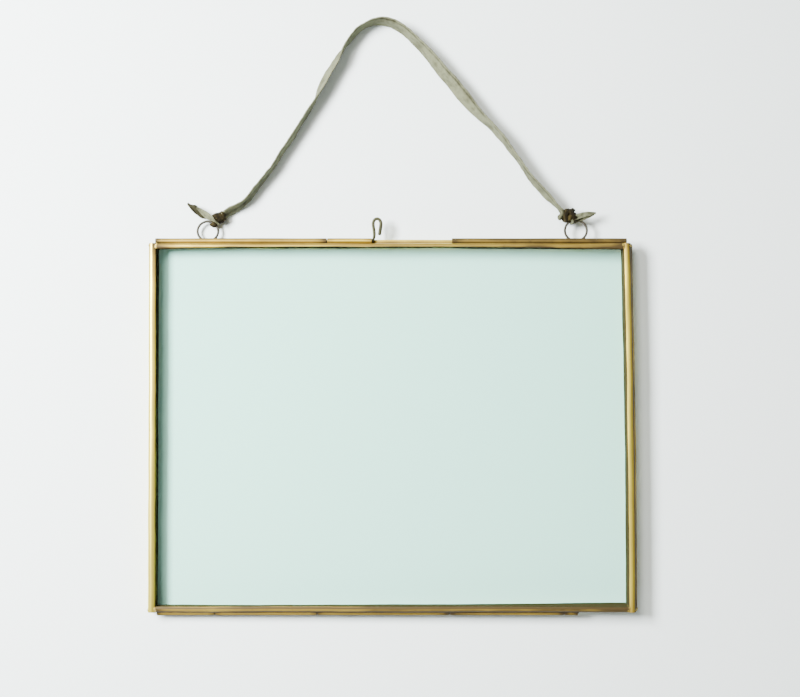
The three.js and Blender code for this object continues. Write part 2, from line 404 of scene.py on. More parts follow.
@dataclass(frozen=True)
class StrapFinish:
    """Soft strap with a fine woven face, painted paler along its edges as highlight and darker in
    its folds as shade.
    """

    name: str
    pale: Colour
    deep: Colour
    threads: float = 1900.0
    fibres: Point = (160.0, 1500.0, 1.0)
    stains: float = 210.0
    stained: float = 2.4
    streaked: float = 0.9
    roughness: float = 0.82
    relief: float = 0.00025
    specular: float = 0.08
    sheen: float = 0.015

    def build(self) -> bpy.types.Material:
        """Makes the material.

        Returns:
            The material.
        """
        shading = Shading(self.name)
        sheet = shading.place("UV")
        parts = shading.node("ShaderNodeSeparateXYZ", {0: sheet})
        woven = ((shading.take(parts, "X") * (self.threads * math.pi)).wave()
                 * (shading.take(parts, "Y") * (self.threads * math.pi)).wave())
        fibre = shading.cloud(shading.stretch(sheet, self.fibres), 1.0)
        stain = shading.cloud(shading.place(), self.stains, rough=0.65)
        soil = shading.stored("soil_and_shade") + (stain - 0.5) * self.stained
        amount = (soil + (fibre - 0.5) * self.streaked).clamped()
        shading.feed(shading.surface, {
            "Base Color": shading.blend(amount, self.pale, self.deep),
            "Roughness": self.roughness + (fibre - 0.5) * 0.2,
            "Normal": shading.relief(woven * 0.25 + fibre * 0.75, self.relief, 0.8),
            "Specular IOR Level": self.specular, "Sheen Weight": self.sheen,
            "Sheen Roughness": 0.5,
        })
        return shading.material


@dataclass(frozen=True)
class PlainFinish:
    """A plain matt surface for the room, which may show only on its front."""

    name: str
    colour: Colour
    one_sided: bool = False

    def build(self) -> bpy.types.Material:
        """Makes the material.

        Returns:
            The material.
        """
        shading = Shading(self.name)
        shading.feed(shading.surface, {"Base Color": (*self.colour, 1.0), "Roughness": 0.95})
        if self.one_sided:
            behind = shading.take(shading.node("ShaderNodeNewGeometry"), "Backfacing")
            shading.mix(behind, shading.take(shading.surface), shading.clear())
        return shading.material


class Finish(Enum):
    """Every finish of the object, with the record's slot that it belongs to."""

    BRASS = ("brass", BrassFinish())
    SOLDER = ("brass", SolderFinish())
    WIRE = ("dark_brass", WireFinish(
        "pin_wire", (0.044, 0.044, 0.021), (0.018, 0.018, 0.009), roughness=0.55, metal=0.3))
    RING = ("dark_brass", WireFinish(
        "ring_wire", (0.046, 0.042, 0.032), (0.028, 0.026, 0.019), roughness=0.6, metal=0.15))
    GLASS = ("glass", PaneFinish())
    STRAP = ("strap", StrapFinish("strap_cloth", (0.116, 0.122, 0.074), (0.022, 0.021, 0.010)))
    KNOT = ("knot", StrapFinish("knot_cloth", (0.040, 0.030, 0.0085), (0.0060, 0.0044, 0.0012)))

    @cache
    def material(self) -> bpy.types.Material:
        """The finish's material, which its first use makes."""
        return self.value[1].build()

    def put(self, piece: bpy.types.Object) -> None:
        """Dresses a piece."""
        piece.data.materials.append(self.material())


# Surfaces

PACES = (1.0, 2.3, 4.1)
SCRAMBLE = (12.9898, 78.233, 43758.5453)


def waver(place: np.ndarray, seed: int, wave: Wave) -> np.ndarray:
    """A smooth hand-made wander.

    Args:
        place: the distances along a piece.
        seed: which wander.
        wave: about how far it goes, and how long its longest wave is.

    Returns:
        One value for each distance.
    """
    total = np.zeros_like(place, dtype=float)
    for k, pace in enumerate(PACES):
        phase = math.sin(seed * SCRAMBLE[0] + k * SCRAMBLE[1]) * SCRAMBLE[2] % 1
        total += np.sin(2 * math.pi * (place / wave[1] * pace + phase)) / (1.3 + k)
    return wave[0] * (total / 1.6)


def smooth(value: np.ndarray | float, low: float, high: float) -> np.ndarray | float:
    """A soft step from 0 at low to 1 at high."""
    t = np.clip((value - low) / (high - low), 0.0, 1.0)
    return t * t * (3 - 2 * t)


def bent(share: np.ndarray | float, shift: Shift) -> np.ndarray | float:
    """A smooth shift along a share from 0 to 1, with values at its start, middle and end."""
    first, middle, last = shift
    return (first * (1 - share) * (1 - 2 * share) + 4 * middle * share * (1 - share)
            + last * share * (2 * share - 1))


def travelled(points: np.ndarray) -> np.ndarray:
    """How far along a route each of its points lies."""
    return np.concatenate([[0.0], np.cumsum(np.linalg.norm(np.diff(points, axis=0), axis=1))])


def units(vectors: np.ndarray) -> np.ndarray:
    """Vectors brought to a length of one."""
    return vectors / np.linalg.norm(vectors, axis=1, keepdims=True)


def curve_through(points: Sequence[Sequence[float]], steps: int, finer: int = 8) -> np.ndarray:
    """Even steps along a smooth curve through points that may carry more values than three.

    Args:
        points: the rows, whose first three values are a place.
        steps: how many rows to return.
        finer: how many places are worked out for each of them.

    Returns:
        The rows.
    """
    rows = np.asarray(points, dtype=float)
    gaps = np.linalg.norm(np.diff(rows[:, :3], axis=0), axis=1) ** 0.5
    knots = np.concatenate([[0.0], np.cumsum(gaps)])
    padded = np.vstack([2 * rows[0] - rows[1], rows, 2 * rows[-1] - rows[-2]])
    times = np.concatenate([[-gaps[0]], knots, [knots[-1] + gaps[-1]]])
    at = np.linspace(0.0, knots[-1], steps * finer)
    cell = np.clip(np.searchsorted(knots, at, side="right") - 1, 0, len(gaps) - 1)
    t = [times[cell + n][:, None] for n in range(4)]
    level = [padded[cell + n] for n in range(4)]
    at = at[:, None]
    for low, high in ((0, 1), (0, 2), (1, 2)):
        level = [((t[n + high] - at) * level[n] + (at - t[n + low]) * level[n + 1])
                 / (t[n + high] - t[n + low]) for n in range(len(level) - 1)]
    dense = level[0]
    run = travelled(dense[:, :3])
    even = np.linspace(0.0, run[-1], steps)
    return np.stack([np.interp(even, run, column) for column in dense.T], axis=1)


def round_wire(route: np.ndarray, radius: float | np.ndarray, sides: int,
               tips: float = 0.0) -> np.ndarray:
    """Rings of a round wire along a route in a plane that faces the viewer.

    Args:
        route: the wire's middle line.
        radius: the wire's radius, the same everywhere or one for each point.
        sides: points round the wire.
        tips: how far in the ends are rounded off.

    Returns:
        The rings.
    """
    ahead = units(np.gradient(route, axis=0))
    side = units(np.cross(ahead, (0.0, 1.0, 0.0)))
    other = np.cross(side, ahead)
    size = np.ones(len(route)) * radius
    if tips > 0:
        run = travelled(route)
        for distance in (run, run[-1] - run):
            near = np.clip(distance / tips, 0.0, 1.0)
            size = size * np.sqrt(np.clip(1 - (1 - near) ** 2, 0.06, 1.0))
    angle = 2 * math.pi * np.arange(sides) / sides
    ring = (np.cos(angle)[None, :, None] * side[:, None, :]
            + np.sin(angle)[None, :, None] * other[:, None, :])
    return route[:, None, :] + ring * size[:, None, None]


def adopt(mesh: bpy.types.Mesh, name: str, body: str, finish: Finish, nodes: tuple[str, ...],
          crease: float) -> bpy.types.Object:
    """Turns a mesh into a piece of the object.

    Args:
        mesh: the mesh.
        name: the piece's name.
        body: the body that it rides on.
        finish: its finish.
        nodes: the CAD nodes that it stands for.
        crease: the angle in degrees above which an edge stays sharp.

    Returns:
        The piece.
    """
    mesh.validate()
    mesh.shade_smooth()
    mesh.set_sharp_from_angle(angle=math.radians(crease))
    piece = bpy.data.objects.new(name, mesh)
    bpy.context.scene.collection.objects.link(piece)
    finish.put(piece)
    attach(piece, body)
    if nodes:
        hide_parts(*nodes)
    LOG.info("%s: %d faces on %s", name, len(mesh.polygons), body)
    return piece


@dataclass
class Skin:
    """A closed surface through rings of points."""

    name: str
    rings: np.ndarray
    body: str
    finish: Finish
    nodes: tuple[str, ...] = ()
    joined: bool = False
    # Soil for each point, with painted shade and highlight in it.
    soil_and_shade: np.ndarray | None = None
    crease: float = 40.0

    def build(self) -> bpy.types.Object:
        """Makes the piece and lets it ride on its body.

        Returns:
            The piece.
        """
        steps, count, _ = self.rings.shape
        vertices = self.rings.reshape(-1, 3) * MM
        spans = steps if self.joined else steps - 1
        i, k = np.meshgrid(np.arange(spans), np.arange(count), indexing="ij")
        i, k = i.reshape(-1), k.reshape(-1)
        after, beside = (i + 1) % steps * count, (k + 1) % count
        faces = np.stack([i * count + k, i * count + beside, after + beside, after + k],
                         axis=-1).tolist()
        if not self.joined:
            faces.append(list(range(count))[::-1])
            faces.append([(steps - 1) * count + n for n in range(count)])
        turned = self._volume(vertices, faces) < 0
        if turned:
            faces = [face[::-1] for face in faces]
        mesh = bpy.data.meshes.new(self.name)
        mesh.from_pydata(vertices.tolist(), [], faces)
        self._unroll(mesh, i, k, turned)
        if self.soil_and_shade is not None:
            layer = mesh.attributes.new("soil_and_shade", "FLOAT", "POINT")
            layer.data.foreach_set("value", self.soil_and_shade.reshape(-1).astype(np.float32))
        return adopt(mesh, self.name, self.body, self.finish, self.nodes, self.crease)

    def _volume(self, vertices: np.ndarray, faces: list[list[int]]) -> float:
        """The signed volume, positive where the faces point out.

        Args:
            vertices: the places of the points.
            faces: the points of each face.

        Returns:
            Six times the volume.
        """
        total = 0.0
        for face in faces:
            first = vertices[face[0]]
            for a, b in zip(face[1:-1], face[2:]):
                total += float(np.dot(first, np.cross(vertices[a], vertices[b])))
        return total

    def _unroll(self, mesh: bpy.types.Mesh, i: np.ndarray, k: np.ndarray, turned: bool) -> None:
        """Lays the sides out flat in metres, along and round.

        Args:
            mesh: the mesh, whose first faces are the sides.
            i: the ring of each side.
            k: the point of each side in its ring.
            turned: whether the faces were reversed.
        """
        middles = self.rings.mean(axis=1)
        run = travelled(np.vstack([middles, middles[:1]]) if self.joined else middles)
        widest = self.rings[len(self.rings) // 2]
        girth = travelled(np.vstack([widest, widest[:1]]))
        corners = np.stack([
            np.stack([run[ring], girth[point]], axis=-1)
            for ring, point in ((i, k), (i, k + 1), (i + 1, k + 1), (i + 1, k))
        ], axis=1) * MM
        if turned:
            corners = corners[:, ::-1]
        flat = np.zeros((len(mesh.loops), 2), dtype=np.float32)
        flat[:corners.size // 2] = corners.reshape(-1, 2)
        mesh.uv_layers.new(name="sheet").data.foreach_set("uv", flat.reshape(-1))


@dataclass
class Lump:
    """A rounded blob, roughened by smooth noise."""

    name: str
    centre: Point
    half: Point
    body: str
    finish: Finish
    lean: float = 0.0
    rough: float = 0.12
    pitch: float = 1.6
    seed: float = 0.0
    nodes: tuple[str, ...] = ()

    def build(self) -> bpy.types.Object:
        """Makes the piece.

        Returns:
            The piece.
        """
        shape = bmesh.new()
        bmesh.ops.create_icosphere(shape, subdivisions=4, radius=1.0)
        turn = math.radians(self.lean)
        offset = Vector((self.seed * 3.7, self.seed * 1.3, self.seed * 2.1))
        for vertex in shape.verts:
            out = vertex.co.normalized()
            swell = 1 + self.rough * noise.noise(out * self.pitch + offset)
            x, y, z = (out[n] * self.half[n] * swell for n in range(3))
            vertex.co = (
                (self.centre[0] + x * math.cos(turn) - z * math.sin(turn)) * MM,
                (self.centre[1] + y) * MM,
                (self.centre[2] + x * math.sin(turn) + z * math.cos(turn)) * MM,
            )
        mesh = bpy.data.meshes.new(self.name)
        shape.to_mesh(mesh)
        shape.free()
        return adopt(mesh, self.name, self.body, self.finish, self.nodes, 180.0)


# Leaves

@dataclass(frozen=True)
class Wear:
    """How soiled one bar is, partly as painted shade, how that changes along its length, and how
    far its lips wander out.
    """

    front: float
    rear: float
    # The lips' inner edges: soil and painted shade where the lips turn from the light.
    edge: float
    # The round back's outward face: painted shade where it turns from the light or meets a tube.
    crown: float
    # The round back's front face: painted shade that sets where its highlight falls.
    crown_front_soil_and_shade: float = 0.0
    # A slope along the bar: painted highlight towards the bottom of the left bar, darker towards
    # the right on the top and bottom bars.
    soil_and_shade_along: float = 0.0
    lift: Shift = (0.0, 0.0, 0.0)


# Much of this soil is painted shade: the lip edges, the outward faces of the round backs where they
# turn from the light or meet the tubes, the front faces of the top and bottom backs, the front
# bottom bar partly where it faces the dark floor, and the back leaf's bars where they lie in shade
# between the panes. The front left bar grows lighter towards its bottom as a painted highlight, and
# the top and bottom front bars grow darker towards the right.
BAR_WEAR = {
    ("front", "top"): Wear(0.55, 0.85, 0.65, 0.35, 0.45, 0.20, (0.0, 0.95, -0.3)),
    ("front", "bottom"): Wear(0.83, 0.85, 0.65, 0.9, 0.48, 0.26, (-0.3, -0.3, -0.1)),
    ("front", "left"): Wear(0.42, 0.85, 0.65, 0.0, soil_and_shade_along=-0.58),
    ("front", "right"): Wear(0.05, 0.85, 0.65, 1.0),
    ("back", "top"): Wear(0.5, 0.35, 0.95, 0.9, lift=(0.9, 1.05, 0.2)),
    ("back", "bottom"): Wear(1.0, 0.35, 0.95, 0.9, lift=(0.0, -0.1, -1.1)),
    ("back", "left"): Wear(0.6, 0.35, 0.95, 0.0),
    ("back", "right"): Wear(0.85, 0.35, 0.95, 0.7),
}


@dataclass
class Channel:
    """One folded bar: a round back outside, two flat lips, and a slot for the pane inside."""

    node: str
    body: str
    start: Point
    along: Point
    outward: Point
    length: float
    width: float
    seed: int
    wear: Wear
    rise: float = 0.0
    shift: Shift = (0.0, 0.0, 0.0)
    wiped: Span = (0.0, 0.0)
    depth: float = 3.2
    sheet: float = 0.45
    pane: float = 2.0
    clearance: float = 0.06
    lip_edge: float = 0.3
    station: float = 1.8
    wander: Wave = (0.10, 96.0)
    ripple: Wave = (0.04, 21.0)
    sway: Wave = (0.05, 80.0)
    twist: Wave = (1.6, 70.0)
    patina: Wave = (0.10, 60.0)
    dents: Pair = (0.055, 0.045)
    dent_length: float = 17.0
    pressing: float = 1.8
    upstand_soil: float = 0.35
    cavity_soil: float = 1.0
    age: float = 0.06
    rubbed: float = 0.24
    rubbed_edge: float = 1.5
    dirty_ends: float = 0.38
    dirty_reach: float = 5.0

    def _crown_soil(self, angle: float) -> float:
        """How soiled the round back is, from the wall side over its top to the viewer's side, with
        painted shade on its outward and front faces.

        Args:
            angle: the place round the back, from 0 at the wall side to a half turn.

        Returns:
            The soil.
        """
        turned = float(smooth(math.sin(angle), 0.15, 0.75))
        return max(self.wear.rear * math.cos(angle), self.wear.crown * turned,
                   -self.wear.crown_front_soil_and_shade * math.cos(angle), 0.0)

    def _section(self) -> np.ndarray:
        """The bar's outline across its length.

        Returns:
            Rows of a place towards the wall, a place outwards and how soiled it is, painted shade
            included.
        """
        radius = self.depth / 2
        inner = radius - self.sheet
        tip = self.lip_edge / 2
        seat = self.pane / 2 + self.clearance
        root = tip + (radius - self.width)
        rows: list[tuple[float, float, float]] = []

        def arc(middle: Pair, size: float, begin: float, end: float, count: int,
                soil: float) -> None:
            """Keeps places along part of a circle, between two angles in degrees."""
            for angle in np.linspace(math.radians(begin), math.radians(end), count):
                rows.append((middle[0] + size * math.cos(angle),
                             middle[1] + size * math.sin(angle), soil))

        def pressed(share: float) -> float:
            """How far out of the middle a lip's face stands, from its root to its edge."""
            edge = seat + self.lip_edge
            return edge + (radius - edge) * (1 - share ** self.pressing)

        for share in np.linspace(1.0, 0.0, 9)[:-1]:
            rows.append((pressed(share), root * share, self.wear.rear))
        if self.rise > 0:
            fold = math.acos(-inner / radius)
            arc((0.0, 0.0), radius, 0, math.degrees(fold), 12, self.upstand_soil)
            top = radius + self.rise - self.sheet / 2
            rows.append((-inner, (radius * math.sin(fold) + top) / 2, 0.5))
            arc((-inner - self.sheet / 2, top), self.sheet / 2, 0, 180, 5, self.upstand_soil)
            rows.extend((-radius, top * (1 - share), 0.9) for share in np.linspace(0.0, 1.0, 5)[1:])
        else:
            for angle in np.linspace(0.0, math.pi, 23):
                rows.append((radius * math.cos(angle), radius * math.sin(angle),
                             self._crown_soil(angle)))
        for share in np.linspace(0.0, 1.0, 9)[1:]:
            # Towards its inner edge the lip darkens: painted shade where the lip turns in from the
            # light.
            soil = self.wear.front + (self.wear.edge - 0.55) * share ** 4
            rows.append((-pressed(share), root * share, soil))
        # The lip's rounded edge takes the edge soil, which is painted shade.
        arc((-seat - tip, root), tip, 180, 360, 6, self.wear.edge)
        rows.append((-inner, 0.0, 0.95))
        arc((0.0, 0.0), inner, 180, 0, 11, self.cavity_soil)
        rows.append((inner, 0.0, 0.95))
        arc((seat + tip, root), tip, 180, 360, 6, self.cavity_soil)
        return np.array(rows[:-1])

    def build(self) -> None:
        """Makes the bar, with the wander and dents of hand work."""
        section = self._section()
        a, b, soil = (section[:, n][None, :] for n in range(3))
        run = np.linspace(0.0, self.length, max(8, int(self.length / self.station)))
        drift = bent(run / self.length, self.shift) + waver(run, self.seed, self.wander)
        drift = drift + waver(run, self.seed + 7, self.ripple)
        sway = waver(run, self.seed + 3, self.sway)
        roll = np.radians(waver(run, self.seed + 5, self.twist))[:, None]
        towards = a * np.cos(roll) - b * np.sin(roll) + sway[:, None]
        lift = bent(run / self.length, self.wear.lift)[:, None] * np.clip(-b, 0.0, 1.0)
        outwards = a * np.sin(roll) + b * np.cos(roll) + drift[:, None] + lift
        for i, distance in enumerate(run):
            for k, (x, z, _) in enumerate(section):
                at = Vector((distance / self.dent_length, x * 0.45 + self.seed, z * 0.45))
                outwards[i, k] += self.dents[0] * noise.noise(at)
                towards[i, k] += self.dents[1] * noise.noise(at + Vector((31.0, 7.0, 3.0)))
        rings = (np.array(self.start) + run[:, None, None] * np.array(self.along)
                 + towards[..., None] * np.array([0.0, 1.0, 0.0])
                 + outwards[..., None] * np.array(self.outward))
        from_end = np.minimum(run, self.length - run)
        ends = self.dirty_ends * np.exp(-from_end / self.dirty_reach)
        # The slope along the bar is painted: a highlight towards the bottom of the front left bar,
        # and darker towards the right on the top and bottom front bars.
        age = (self.age + waver(run, self.seed + 11, self.patina)
               + self.wear.soil_and_shade_along * run / self.length)
        if self.rise > 0:
            left, right = self.wiped
            rubbed = smooth(run, left - self.rubbed_edge, left)
            age = age - self.rubbed * (rubbed - smooth(run, right, right + self.rubbed_edge))
        soil_and_shade = np.clip(soil + ends[:, None] + age[:, None], 0.0, 1.0)
        Skin(f"{self.node}_sheet", rings, self.body, Finish.BRASS, (self.node,), soil_and_shade=soil_and_shade,
             crease=60.0).build()


@dataclass
class Leaf:
    """Four channels round one pane, with solder at the corners."""

    side: str
    middle_y: float
    seed: int
    rise: float = 0.0
    spread: float = 0.0
    reach: float = 0.0
    left: float = -98.55
    right: float = 108.45
    top: float = TOP
    bottom: float = BOTTOM
    side_width: float = 3.2
    end_width: float = 2.4
    seam: float = 0.1
    crown: float = CROWN
    inset: float = 1.4
    half_glass: float = 1.0
    ground: float = 0.18
    corner: Point = (1.5, 1.42, 1.15)
    corner_inset: Pair = (1.3, 1.0)
    bead: Point = (0.55, 0.10, 1.1)
    bead_face: float = 1.46
    bead_inset: float = 1.35
    bead_lean: float = 14.0
    left_shift: Shift = (0.25, 0.25, 0.25)
    right_shift: Shift = (-1.1, 0.3, 0.75)
    latch_window: Span = (-3.45, 30.85)

    def build(self) -> None:
        """Makes the pane and the bars, and adds the solder."""
        y, body = self.middle_y, f"{self.side}_leaf"
        self._pane(body)
        start = self.left + (self.side_width + self.seam)
        width = self.right - self.left - 2 * (self.side_width + self.seam) - self.reach
        height = self.top - self.bottom - 2 * self.seam
        bow = tuple(value + self.spread for value in self.right_shift)
        right_width = self.side_width + (self.spread + self.reach)
        high = self.top - self.seam
        bars = {
            "top": ((start, y, self.top - self.crown), (1, 0, 0), (0, 0, 1),
                    width + self.right_shift[0], self.end_width),
            "bottom": ((start, y, self.bottom + self.crown), (1, 0, 0), (0, 0, -1),
                       width + self.right_shift[2], self.end_width),
            "left": ((self.left + self.crown, y, high), (0, 0, -1), (-1, 0, 0), height,
                     self.side_width),
            "right": ((self.right - self.crown, y, high), (0, 0, -1), (1, 0, 0), height,
                      right_width),
        }
        forms = {
            "top": {"rise": self.rise, "wiped": tuple(x - start for x in self.latch_window)},
            "bottom": {}, "left": {"shift": self.left_shift}, "right": {"shift": bow},
        }
        for n, (end, sizes) in enumerate(bars.items()):
            Channel(f"{self.side}_bar_{end}", body, *sizes, self.seed + n + 1,
                    BAR_WEAR[self.side, end], **forms[end]).build()
        corners = [
            ("left", "top", self.left - self.left_shift[0], self.top, -1, 1),
            ("left", "bottom", self.left - self.left_shift[2], self.bottom, -1, -1),
            ("right", "top", self.right + bow[0], self.top, 1, 1),
            ("right", "bottom", self.right + bow[2], self.bottom, 1, -1),
        ]
        for n, (side, end, x, z, outward, upward) in enumerate(corners):
            Lump(f"{self.side}_solder_{side}_{end}",
                 (x - outward * self.corner_inset[0], y, z - upward * self.corner_inset[1]),
                 self.corner, body, Finish.SOLDER, seed=self.seed + n, rough=0.10).build()
            across = right_width if side == "right" else self.side_width
            for face, word in ((-1, "front"), (1, "rear")):
                Lump(f"{self.side}_seam_{side}_{end}_{word}",
                     (x - outward * (across + self.seam / 2), y + face * self.bead_face,
                      z - upward * self.bead_inset), self.bead, body, Finish.SOLDER,
                     lean=outward * upward * self.bead_lean, seed=self.seed + n + 9 + face,
                     rough=0.3).build()

    def _pane(self, body: str) -> None:
        """Makes the sheet of glass, whose ground edges follow the bars that hold it.

        Args:
            body: the body that it rides on.
        """
        top, bottom = self.top - self.inset, self.bottom + self.inset
        blunt = self.half_glass - self.ground
        rings = []
        for share in (0.0, 0.0012, *np.linspace(0.05, 0.95, 19), 0.9988, 1.0):
            z = top + (bottom - top) * share
            face = blunt if share in (0.0, 1.0) else self.half_glass
            low = self.left + self.inset - bent(share, self.left_shift)
            high = self.right - self.inset + bent(share, self.right_shift)
            row = [(low, blunt), (low + self.ground, face), (high - self.ground, face),
                   (high, blunt)]
            rings.append([(x, self.middle_y - y, z) for x, y in row]
                         + [(x, self.middle_y + y, z) for x, y in row[::-1]])
        Skin(f"{self.side}_pane", np.array(rings), body, Finish.GLASS, (f"{self.side}_glass",),
             crease=10.0).build()


# Tubes, wires and fillets

@dataclass
class Tube:
    """A short tube along X, with softened rims."""

    node: str
    body: str
    from_x: float
    to_x: float
    y: float
    z: float
    seed: int
    radius: float = 1.1
    bore: float = 0.7
    rim: float = 0.12
    soil: float = 0.3
    grime_and_shade: float = 0.7
    darkened_axis: float = -75.0
    dirty_ends: float = 0.3
    dirty_reach: float = 1.5
    bore_soil: float = 0.95
    dent: float = 0.035
    sway: Wave = (0.05, 60.0)
    sides: int = 40

    def build(self) -> None:
        """Makes the tube."""
        length, rim = self.to_x - self.from_x, self.rim
        held = rim * 2.2
        inside = np.linspace(held, length - held, max(3, int(length / 2.5)))
        outer = [(x, self.radius) for x in (rim, *inside, length - rim)]
        outer = [(0.0, self.radius - rim), *outer, (length, self.radius - rim)]
        inner = [(length, self.bore + 0.05), (length - 0.1, self.bore), (0.1, self.bore),
                 (0.0, self.bore + 0.05)]
        run, size = np.array(outer + inner).T
        angle = 2 * math.pi * np.arange(self.sides) / self.sides
        size = np.repeat(size[:, None], self.sides, axis=1)
        for i in range(len(outer)):
            for k, turn in enumerate(angle):
                at = Vector((run[i] / 9.0 + self.seed, math.cos(turn), math.sin(turn)))
                size[i, k] += self.dent * noise.noise(at)
        sway = waver(run, self.seed, self.sway)[:, None]
        rings = np.stack([
            np.broadcast_to(self.from_x + run[:, None], size.shape),
            self.y + size * np.cos(angle),
            self.z + sway + size * np.sin(angle),
        ], axis=-1)
        from_end = np.minimum(run, length - run)
        soil = self.soil + self.dirty_ends * np.exp(-from_end / self.dirty_reach)
        soil[len(outer):] = self.bore_soil
        # This darkens the tube on both faces along one axis: soil and painted shade in the groove
        # where it meets the bar, and painted shade on the opposite face.
        facing = np.abs(np.cos(angle - math.radians(self.darkened_axis)))
        under = self.grime_and_shade * np.clip(facing * 1.6 - 0.5, 0.0, 1.0)
        soil_and_shade = np.clip(soil[:, None] + under[None, :], 0.0, 1.0)
        Skin(f"{self.node}_drawn", rings, self.body, Finish.BRASS, (self.node,), joined=True,
             soil_and_shade=soil_and_shade, crease=50.0).build()


@dataclass
class Fillet:
    """Solder run into the corner between two round or flat faces that touch along X.

    A face is the y and z of its middle and its radius, which is huge where it is flat.
    """

    name: str
    body: str
    from_x: float
    to_x: float
    first: Point
    second: Point
    side: int
    seed: int
    reach: float = 0.62
    wander: Wave = (0.22, 17.0)
    sunk: float = 0.04
    hollow: float = 0.12

    def build(self) -> None:
        """Makes the fillet, which reaches now more and now less over the two faces."""
        length = self.to_x - self.from_x
        run = np.linspace(0.0, length, max(4, int(length / 1.2)))
        first, second = np.array(self.first[:2]), np.array(self.second[:2])
        line = (second - first) / np.linalg.norm(second - first)
        across = np.array([-line[1], line[0]]) * self.side
        rings = []
        sides = ((first, self.first[2], 1.0), (second, self.second[2], -1.0))
        for distance, wander in zip(run, waver(run, self.seed, self.wander)):
            size = self.reach * (1 + wander)
            corners = []
            for centre, radius, way in sides:
                for angle in (size / radius, size / radius * 0.45):
                    corners.append(centre + (radius - self.sunk) * (
                        way * line * math.cos(angle) + across * math.sin(angle)))
            outer_a, inner_a, outer_b, inner_b = corners
            middle = (outer_a + outer_b) / 2 - across * self.hollow
            rings.append([(self.from_x + distance, *place)
                          for place in (inner_a, outer_a, middle, outer_b, inner_b)])
        Skin(self.name, np.array(rings), self.body, Finish.SOLDER, crease=70.0).build()


@dataclass
class Closure:
    """The tubes along the top edge and the bent pin that locks them.

    The upstand is flat, so its face counts as part of a huge circle.
    """

    y: float = -2.85
    z: float = -94.889
    left: float = -96.2
    cut: float = -22.85
    gap: float = 0.3
    knuckle_end: float = -3.45
    window_end: float = 30.85
    right: float = 105.7
    tube_radius: float = 1.1
    upstand_y: float = -1.65
    crown: Point = (FRONT_Y, TOP - CROWN, CROWN)
    flat_radius: float = 500.0
    fillet_insets: Point = (0.8, 0.4, 0.3)
    tube_plug: Point = (0.8, 0.75, 0.45)
    pin_radius: float = 0.55
    pin_steps: int = 260
    pin_sides: int = 20
    pin_tips: float = 0.35
    pin_swells: tuple[Point, Point] = ((0.12, 0.62, 0.70), (0.08, 0.84, 0.92))
    pin_line: tuple[Pair, ...] = (
        (-34.15, 0.0), (-20.0, 0.0), (-6.2, 0.0), (-4.2, 0.0), (-3.25, 0.05), (-2.72, 0.8),
        (-2.40, 2.4), (-2.55, 4.6), (-2.84, 6.6), (-2.86, 7.7), (-2.35, 8.95), (-1.25, 9.5),
        (-0.2, 9.05), (0.38, 7.9), (0.42, 6.7), (0.12, 4.6), (-0.25, 2.4),
    )

    def build(self) -> None:
        """Makes the tubes, their solder and the pin."""
        y, z = self.y, self.z
        Tube("closure_tube_left", "back_leaf", self.left, self.cut, y, z, 3, soil=0.62,
             grime_and_shade=0.15).build()
        Tube("latch_knuckle", "front_leaf", self.cut + self.gap, self.knuckle_end, y, z, 5,
             grime_and_shade=0.3).build()
        Tube("closure_tube_right", "back_leaf", self.window_end, self.right, y, z, 8, soil=0.80,
             grime_and_shade=0.15).build()
        tube = (y, z, self.tube_radius)
        flat = (self.upstand_y + self.flat_radius, z, self.flat_radius)
        outer, inner, least = self.fillet_insets
        Fillet("solder_closure_left", "back_leaf", self.left + outer, self.cut - inner, tube,
               flat, 1, 21).build()
        Fillet("solder_closure_right", "back_leaf", self.window_end + inner, self.right - outer,
               tube, flat, 1, 23).build()
        Fillet("solder_latch_knuckle", "front_leaf", self.cut + (self.gap + least),
               self.knuckle_end - least, tube, self.crown, 1, 25, reach=0.5).build()
        Lump("solder_tube_end", (self.left + 0.6, y + 0.2, z - 1.0), self.tube_plug,
             "back_leaf", Finish.SOLDER, seed=27, rough=0.2).build()
        line = curve_through([(x, y, z + rise) for x, rise in self.pin_line], self.pin_steps)
        share = np.linspace(0.0, 1.0, self.pin_steps)
        swell = sum(size * smooth(share, low, high) for size, low, high in self.pin_swells)
        rings = round_wire(line, self.pin_radius + swell, self.pin_sides, tips=self.pin_tips)
        Skin("latch_pin_bent", rings, "latch_pin", Finish.WIRE, ("latch_pin",)).build()


@dataclass
class HingeBarrel:
    """Five knuckles along the bottom edge and the wire through them."""

    y: float = -1.8
    z: float = -254.086
    cuts: tuple[float, ...] = (-95.25, -70.65, -26.95, 29.65, 78.55, 84.55)
    names: tuple[str, ...] = ("back_knuckle_left", "front_knuckle_left", "back_knuckle_centre",
                              "front_knuckle_right", "back_knuckle_right")
    gap: float = 0.3
    fillet_inset: float = 0.3
    radius: float = 1.1
    wire: float = 0.55
    wire_steps: int = 90
    wire_sides: int = 20
    wire_tips: float = 0.3

    def build(self) -> None:
        """Makes the knuckles, their solder and the wire."""
        y, z = self.y, self.z
        crowns = {side: (middle_y, BOTTOM + CROWN, CROWN)
                  for side, middle_y in (("back", BACK_Y), ("front", FRONT_Y))}
        start = self.cuts[0]
        for n, (name, end) in enumerate(zip(self.names, self.cuts[1:])):
            side = name.split("_")[0]
            Tube(name, f"{side}_leaf", start, end, y, z, 30 + n, soil=0.56 + 0.03 * n,
                 darkened_axis=100.0).build()
            Fillet(f"solder_{name}", f"{side}_leaf", start + self.fillet_inset,
                   end - self.fillet_inset, (y, z, self.radius), crowns[side],
                   1 if side == "back" else -1, 40 + n, reach=0.5).build()
            start = end + self.gap
        stations = (self.cuts[0], 0.0, self.cuts[-1], self.cuts[-1] + 0.6)
        line = curve_through([(x, y, z) for x in stations], self.wire_steps)
        rings = round_wire(line, self.wire, self.wire_sides, tips=self.wire_tips)
        Skin("hinge_wire_cut", rings, "back_leaf", Finish.WIRE, ("hinge_wire",)).build()


# Rings and strap

